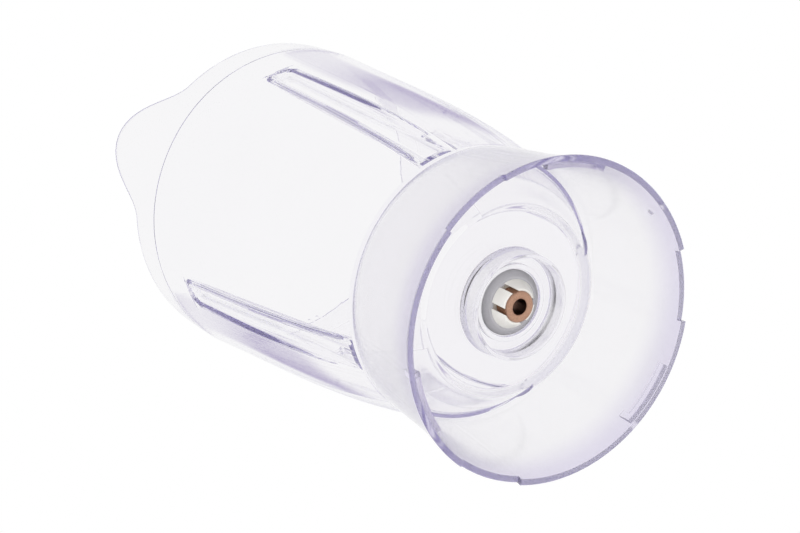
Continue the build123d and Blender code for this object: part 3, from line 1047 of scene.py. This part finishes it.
def jaw_surface(b, centre, narrow):
    """One jaw beside the two parallel slots: its section carried round, with its ends closed.

    A slot wall lies at a distance d from the axis. At the radius r a narrow jaw, between the slots,
    reaches the angle asin(d / r) to both sides of its middle, and a wide jaw, outside a slot, the
    angle pi / 2 - asin(d / r). The last rows at either end shrink the section to its middle.
    """
    bore = BUSH_HIGH.x + b.press_gap
    shoulder = RING_LOW.z
    top = shoulder + b.slot_rise + 2 * b.edge
    corners = [
        (bore, HOUSING_LOW.z),
        (b.jaw_tip_radius, HOUSING_LOW.z),
        (b.jaw_shoulder_radius, shoulder),
        (b.neck_radius, shoulder),
        (b.neck_radius, top),
        (bore, top),
    ]
    section = rounded(corners, b.edge * JAW_ROUNDS, closed=True)
    middle = section.mean(0)
    run = np.linspace(0, 1, JAW_COLUMNS)[1:-1]
    end = np.array([0, 0, 0, JAW_END])
    share = np.concatenate([end, run, 1 - end[::-1]])
    shrink = np.concatenate([JAW_CLOSING, np.ones(len(run)), JAW_CLOSING[::-1]])
    outline = middle + (section - middle)[:, None] * shrink[None, :, None]
    radius, height = outline[..., 0], outline[..., 1]
    wall = b.slot_setting + b.slot_width / 2 * (-1 if narrow else 1)
    reach = np.arcsin(wall / radius)
    turn = centre + (2 * share - 1) * (reach if narrow else pi / 2 - reach)
    return np.stack([radius * np.sin(turn), -radius * np.cos(turn), height], 2)


class JAR_OT_moulding(bpy.types.Operator):
    """Build the clear jar in place of its CAD solid"""

    bl_idname = "jar.moulding"
    bl_label = "Clear jar"

    def execute(self, context):
        sizes, _, finishes, _ = settings()
        points, haze = jar_surface(sizes)
        add_grid("clear_jar", points, clear_plastic(finishes), "jar", haze)
        return {"FINISHED"}


class JAR_OT_housing(bpy.types.Operator):
    """Build the white bearing housing with its snap jaws"""

    bl_idname = "jar.housing"
    bl_label = "Bearing housing"

    def execute(self, context):
        _, b, finishes, _ = settings()
        sleeve = revolved(housing_sleeve(b), TURNED_COLUMNS)
        points = [sleeve.reshape(-1, 3)]
        faces = [grid_faces(*sleeve.shape[:2])]
        for number in range(4):
            jaw = jaw_surface(b, b.narrow_offset + pi / 2 * number, number % 2 == 0)
            start = sum(map(len, points))
            faces.append(grid_faces(*jaw.shape[:2], start=start, closed_columns=False))
            points.append(jaw.reshape(-1, 3))
        material = solid_finish(
            "white_plastic", finishes.white, share=0.04, rough=(0.3, 0.42), scale=300.0, bump=0.05
        )
        points, faces = np.concatenate(points), np.concatenate(faces)
        add_piece("white_housing", points, faces, material, "bearing_housing")
        return {"FINISHED"}


class JAR_OT_bush(bpy.types.Operator):
    """Build the bronze bush, with painted shade in its bore"""

    bl_idname = "jar.bush"
    bl_label = "Bronze bush"

    def execute(self, context):
        _, b, finishes, _ = settings()
        bore, outer, c = b.bore_radius, BUSH_HIGH.x, b.bush_chamfer
        low, high = BUSH_LOW.z, BUSH_HIGH.z
        corners = [(bore + c, low), (outer - c, low), (outer, low + c), (outer, high - c)]
        corners += [(outer - c, high), (bore + c, high), (bore, high - c), (bore, low + c)]
        material = solid_finish(
            "bronze",
            finishes.bronze,
            share=0.35,
            rough=(0.32, 0.5),
            scale=260.0,
            bump=0.25,
            metallic=1.0,
            # painted shade in the bore: its inside is darkened to the bore colour
            hole=bore,
            depth=finishes.bore,
        )
        add_turned("bronze_bush", corners, b.edge, material, "bush")
        return {"FINISHED"}


class JAR_OT_seals(bpy.types.Operator):
    """Build the grey ring under the floor and the shaft seal over the bush"""

    bl_idname = "jar.seals"
    bl_label = "Seals"

    def execute(self, context):
        _, b, finishes, _ = settings()
        inner = b.neck_radius + b.seal_gap
        top = RING_HIGH.z - b.air
        corners = [(inner, RING_LOW.z), (b.seal_tip_radius, RING_LOW.z)]
        corners += [(RING_HIGH.x, RING_HIGH.z - b.seal_edge), (RING_HIGH.x, top), (inner, top)]
        material = solid_finish(
            "grey_rubber", finishes.grey_rubber, share=0.12, rough=(0.38, 0.5), scale=200.0, bump=0.08
        )
        add_turned("grey_ring", corners, b.edge, material, "seal_ring")

        way = b.bore_radius + b.seal_gap
        corners = [(b.ledge_radius, SEAL_LOW.z), (SEAL_HIGH.x, SEAL_LOW.z), (SEAL_HIGH.x, SEAL_HIGH.z)]
        corners += [(way, SEAL_HIGH.z), (way, SEAL_HIGH.z - b.lip_thickness)]
        material = solid_finish(
            "dark_rubber", finishes.dark_rubber, share=0.3, rough=(0.45, 0.6), scale=220.0, bump=0.1
        )
        add_turned("shaft_lip_seal", corners, b.edge, material, "shaft_seal")
        return {"FINISHED"}


def set_camera(stage):
    """Camera on a sphere round the rim's middle, aimed at a point and rolled about its own axis."""
    camera = bpy.data.cameras.new("photo_camera")
    camera.sensor_fit = "HORIZONTAL"
    camera.lens = stage.focal_pixels / IMAGE_WIDTH * camera.sensor_width
    level = cos(stage.elevation)
    direction = Vector((level * cos(stage.azimuth), level * sin(stage.azimuth), sin(stage.elevation)))
    place = direction * stage.distance
    ahead = Vector(stage.aim) - place
    holder = bpy.data.objects.new("photo_camera", camera)
    holder.location = place
    holder.rotation_mode = "QUATERNION"
    upright = ahead.to_track_quat("-Z", "Y")
    holder.rotation_quaternion = upright @ Quaternion((0, 0, 1), -stage.roll)
    bpy.context.scene.collection.objects.link(holder)
    bpy.context.scene.camera = holder


def set_floor(finishes):
    """A pale floor that the camera sees only from above, so that the jar also shows from below."""
    mesh = bpy.data.meshes.new("studio_floor")
    level = CAD_BOX[0].z - FLOOR_DROP
    corners = [(x * FLOOR_HALF, y * FLOOR_HALF, level) for x, y in ((-1, -1), (1, -1), (1, 1), (-1, 1))]
    mesh.from_pydata(corners, [], [(0, 1, 2, 3)])
    material, tree, output = node_material("studio_floor")
    place = add_node(tree, "ShaderNodeTexCoord").outputs["Object"]
    cloud = add_node(tree, "ShaderNodeTexNoise", {"Vector": place, "Scale": FLOOR_SCALE})
    tone = two_tone(tree, cloud.outputs["Fac"], finishes.floor, FLOOR_SHARE)
    paint = add_node(tree, "ShaderNodeBsdfDiffuse", {"Color": tone}).outputs["BSDF"]
    gone = add_node(tree, "ShaderNodeBsdfTransparent").outputs["BSDF"]
    seen = add_node(tree, "ShaderNodeLightPath").outputs["Is Camera Ray"]
    below = add_node(tree, "ShaderNodeNewGeometry").outputs["Backfacing"]
    values = {0: seen, 1: below}
    front = add_node(tree, "ShaderNodeMath", values, operation="SUBTRACT", use_clamp=True)
    mix = add_node(tree, "ShaderNodeMixShader", {"Fac": front.outputs["Value"], 1: gone, 2: paint})
    tree.links.new(mix.outputs["Shader"], output.inputs["Surface"])
    mesh.materials.append(material)
    floor = bpy.data.objects.new("studio_floor", mesh)
    bpy.context.scene.collection.objects.link(floor)


def soft_light(name, place, aim, size, power):
    """A square area light at a place, turned to a point."""
    light = bpy.data.lights.new(name, "AREA")
    light.size = size
    light.energy = power
    holder = bpy.data.objects.new(name, light)
    holder.location = place
    holder.rotation_mode = "QUATERNION"
    holder.rotation_quaternion = (Vector(aim) - Vector(place)).to_track_quat("-Z", "Y")
    holder.visible_glossy = False
    holder.visible_transmission = False
    bpy.context.scene.collection.objects.link(holder)


def studio_sides(tree, stage):
    """Colour of the surround: white, with a dim side to the left and right of the backdrop.

    The angle of a direction from the backdrop, seen from above, tells the sides, and its elevation
    keeps them between the table and the lamps overhead.
    """
    place = add_node(tree, "ShaderNodeTexCoord").outputs["Generated"]
    values = {"Vector": place, "Angle": pi - stage.azimuth}
    turned = add_node(tree, "ShaderNodeVectorRotate", values, rotation_type="Z_AXIS")
    ahead, across, up = add_node(
        tree, "ShaderNodeSeparateXYZ", {"Vector": turned.outputs["Vector"]}
    ).outputs
    aside = compute(tree, "ABSOLUTE", compute(tree, "ARCTAN2", across, ahead))
    rise = compute(tree, "ARCSINE", up)
    sides = between(tree, aside, stage.side_inner, stage.side_outer, stage.side_soft)
    band = between(tree, rise, stage.side_low, stage.side_high, stage.side_soft / 2)
    return white_to(tree, compute(tree, "MULTIPLY", sides, band), stage.side_tone)


def set_light(stage):
    """A surround with dim sides that the camera sees as plain white, and two soft lights."""
    scene = bpy.context.scene
    world = bpy.data.worlds.new("studio")
    scene.world = world
    world.use_nodes = True
    tree = world.node_tree
    tree.nodes.clear()
    output = tree.nodes.new("ShaderNodeOutputWorld")
    values = {"Color": studio_sides(tree, stage), "Strength": SURROUND_STRENGTH}
    surround = add_node(tree, "ShaderNodeBackground", values).outputs["Background"]
    values = {"Color": (1, 1, 1, 1), "Strength": 1.0}
    backdrop = add_node(tree, "ShaderNodeBackground", values).outputs["Background"]
    seen = add_node(tree, "ShaderNodeLightPath").outputs["Is Camera Ray"]
    mix = add_node(tree, "ShaderNodeMixShader", {"Fac": seen, 1: surround, 2: backdrop})
    tree.links.new(mix.outputs["Shader"], output.inputs["Surface"])
    for name, light in LIGHTS.items():
        soft_light(name, **light)
    scene.view_settings.view_transform = "Standard"
    scene.cycles.max_bounces = LIGHT_BOUNCES
    scene.cycles.transmission_bounces = LIGHT_BOUNCES
    scene.cycles.glossy_bounces = LIGHT_BOUNCES
    scene.cycles.transparent_max_bounces = CLEAR_BOUNCES


class JAR_OT_stage(bpy.types.Operator):
    """Set the camera, the pale floor and the soft studio light"""

    bl_idname = "jar.stage"
    bl_label = "Stage"

    def execute(self, context):
        _, _, finishes, stage = settings()
        set_camera(stage)
        set_floor(finishes)
        set_light(stage)
        return {"FINISHED"}


class JAR_PT_panel(bpy.types.Panel):
    """Sidebar panel with the steps of the jar and its main sizes"""

    bl_idname = "JAR_PT_panel"
    bl_label = "Blender jar"
    bl_space_type = "VIEW_3D"
    bl_region_type = "UI"
    bl_category = "Jar"

    def draw(self, context):
        for step in OPERATORS:
            self.layout.operator(step.bl_idname)
        for group in settings():
            box = self.layout.box()
            for name in group.__annotations__:
                box.prop(group, name)


GROUPS = {
    "jar_sizes": JarSizes,
    "bearing_sizes": BearingSizes,
    "jar_finishes": Finishes,
    "jar_stage": StageSettings,
}
OPERATORS = [JAR_OT_moulding, JAR_OT_housing, JAR_OT_bush, JAR_OT_seals, JAR_OT_stage]


def register():
    """Registers the property groups, the operators and the panel."""
    for name, group in GROUPS.items():
        bpy.utils.register_class(group)
        setattr(bpy.types.Scene, name, bpy.props.PointerProperty(type=group))
    for step in OPERATORS:
        bpy.utils.register_class(step)
    bpy.utils.register_class(JAR_PT_panel)


def unregister():
    """Takes back what register added."""
    bpy.utils.unregister_class(JAR_PT_panel)
    for step in reversed(OPERATORS):
        bpy.utils.unregister_class(step)
    for name, group in GROUPS.items():
        delattr(bpy.types.Scene, name)
        bpy.utils.unregister_class(group)


def main():
    """Builds every piece and the stage."""
    register()
    bpy.ops.jar.moulding()
    bpy.ops.jar.housing()
    bpy.ops.jar.bush()
    bpy.ops.jar.seals()
    bpy.ops.jar.stage()


if __name__ == "__main__":
    main()
